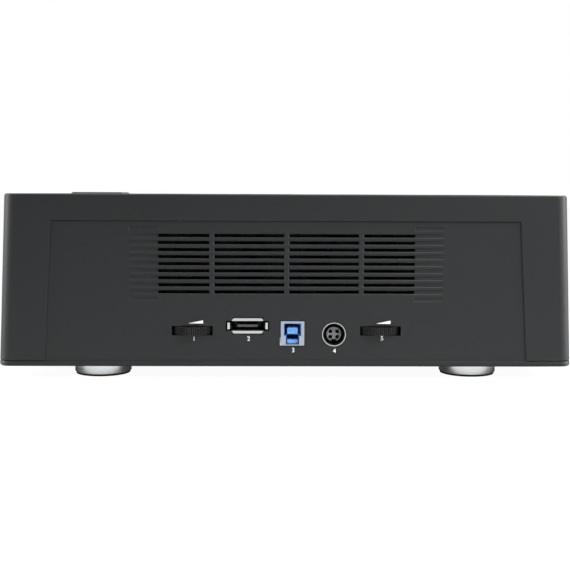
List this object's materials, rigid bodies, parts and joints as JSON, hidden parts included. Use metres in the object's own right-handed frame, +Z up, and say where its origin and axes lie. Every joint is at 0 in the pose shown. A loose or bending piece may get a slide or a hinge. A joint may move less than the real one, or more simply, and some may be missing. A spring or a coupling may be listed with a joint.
{
  "type": "hard drive docking station",
  "caption": "Low, wide docking station with sprung top doors over upright drive bays, a slotted rear panel with fans, fan-speed thumb wheels, data ports and a round power inlet.",
  "frame": {"origin": "on the floor, under the middle of the part's box", "axes": "+Z up, +X along the width, +Y towards the rear panel with its vent and ports"},
  "size_m": [0.2836, 0.1419, 0.0913],
  "materials": {
    "shell_plastic": "fine moulded texture",
    "tray_plastic": "fine moulded texture",
    "panel_plastic": "fine moulded texture",
    "foot_metal": "turned, satin",
    "foot_rubber": "matte",
    "steel": "plated",
    "chute_plastic": "plain moulded",
    "door_plastic": "fine moulded texture",
    "board": "solder mask",
    "chip": "moulded resin",
    "capacitor": "sleeved can",
    "coil": "ferrite",
    "header": "plain moulded",
    "socket_plastic": "plain moulded",
    "contact_metal": "gold plated",
    "fan_plastic": "plain moulded",
    "lead": "insulated wire",
    "wheel_plastic": "ribbed edge",
    "control": "plain moulded",
    "port_metal": "nickel plated",
    "port_blue": "plain moulded",
    "inlet_plastic": "plain moulded",
    "inlet_metal": "nickel plated",
    "pad_plastic": "satin",
    "button_plastic": "satin",
    "lens": "clear polished"
  },
  "bodies": {
    "case": {"top_shell": "shell_plastic", "base_tray": "tray_plastic", "rear_panel": "panel_plastic", "foot_rings": "foot_metal", "foot_rubbers": "foot_rubber", "foot_screws": "steel", "case_screws": "steel", "door_pins": "steel", "door_springs": "steel", "chute_screws": "steel", "board_screws": "steel", "fan_screws": "steel", "button_board_screws": "steel", "bay_chute_1": "chute_plastic", "bay_chute_2": "chute_plastic", "bay_chute_3": "chute_plastic", "bay_chute_4": "chute_plastic", "main_board": "board", "button_board": "board", "board_chips": "chip", "power_switch": "chip", "board_capacitors": "capacitor", "board_coils": "coil", "board_headers": "header", "status_lights": "header", "drive_socket_1": "socket_plastic", "drive_socket_2": "socket_plastic", "drive_socket_3": "socket_plastic", "drive_socket_4": "socket_plastic", "flat_port_tongue": "socket_plastic", "drive_contacts": "contact_metal", "square_port_contacts": "contact_metal", "flat_port_contacts": "contact_metal", "inlet_contacts": "contact_metal", "fan_frame_1": "fan_plastic", "fan_frame_2": "fan_plastic", "fan_leads": "lead", "button_lead": "lead", "speed_controls": "control", "square_port_shell": "port_metal", "flat_port_shell": "port_metal", "square_port_core": "port_blue", "inlet_housing": "inlet_plastic", "inlet_core": "inlet_plastic", "inlet_ring": "inlet_metal", "control_pad": "pad_plastic", "power_lens": "lens", "light_pipes": "lens"},
    "door_1": {"bay_door_1": "door_plastic"},
    "door_2": {"bay_door_2": "door_plastic"},
    "door_3": {"bay_door_3": "door_plastic"},
    "door_4": {"bay_door_4": "door_plastic"},
    "fan_1": {"fan_rotor_1": "fan_plastic"},
    "fan_2": {"fan_rotor_2": "fan_plastic"},
    "wheel_1": {"speed_wheel_1": "wheel_plastic"},
    "wheel_2": {"speed_wheel_2": "wheel_plastic"},
    "button": {"power_button": "button_plastic"}
  },
  "joints": [
    {"name": "door_1_hinge", "type": "hinge", "parent": "case", "child": "door_1", "pos_m": [-0.11675, -0.0039, 0.0866], "axis": [0, 1, 0], "range_deg": [0, 90], "stiffness_Nm_per_rad": 0.006, "springref_deg": -57.3},
    {"name": "door_2_hinge", "type": "hinge", "parent": "case", "child": "door_2", "pos_m": [-0.06075, -0.0039, 0.0866], "axis": [0, 1, 0], "range_deg": [0, 90], "stiffness_Nm_per_rad": 0.006, "springref_deg": -57.3},
    {"name": "door_3_hinge", "type": "hinge", "parent": "case", "child": "door_3", "pos_m": [-0.00475, -0.0039, 0.0866], "axis": [0, 1, 0], "range_deg": [0, 90], "stiffness_Nm_per_rad": 0.006, "springref_deg": -57.3},
    {"name": "door_4_hinge", "type": "hinge", "parent": "case", "child": "door_4", "pos_m": [0.05125, -0.0039, 0.0866], "axis": [0, 1, 0], "range_deg": [0, 90], "stiffness_Nm_per_rad": 0.006, "springref_deg": -57.3},
    {"name": "fan_1_spin", "type": "hinge", "parent": "case", "child": "fan_1", "pos_m": [-0.032, 0.0545, 0.0585], "axis": [0, 1, 0], "continuous": true},
    {"name": "fan_2_spin", "type": "hinge", "parent": "case", "child": "fan_2", "pos_m": [0.032, 0.0545, 0.0585], "axis": [0, 1, 0], "continuous": true},
    {"name": "wheel_1_turn", "type": "hinge", "parent": "case", "child": "wheel_1", "pos_m": [-0.0463, 0.0599, 0.0237], "axis": [0, 0, 1], "range_deg": [-135, 135]},
    {"name": "wheel_2_turn", "type": "hinge", "parent": "case", "child": "wheel_2", "pos_m": [0.0463, 0.0599, 0.0237], "axis": [0, 0, 1], "range_deg": [-135, 135]},
    {"name": "button_press", "type": "slide", "parent": "case", "child": "button", "axis": [0, 0, -1], "range_m": [0, 0.0008], "stiffness_N_per_m": 500, "springref_m": -0.001}
  ]
}
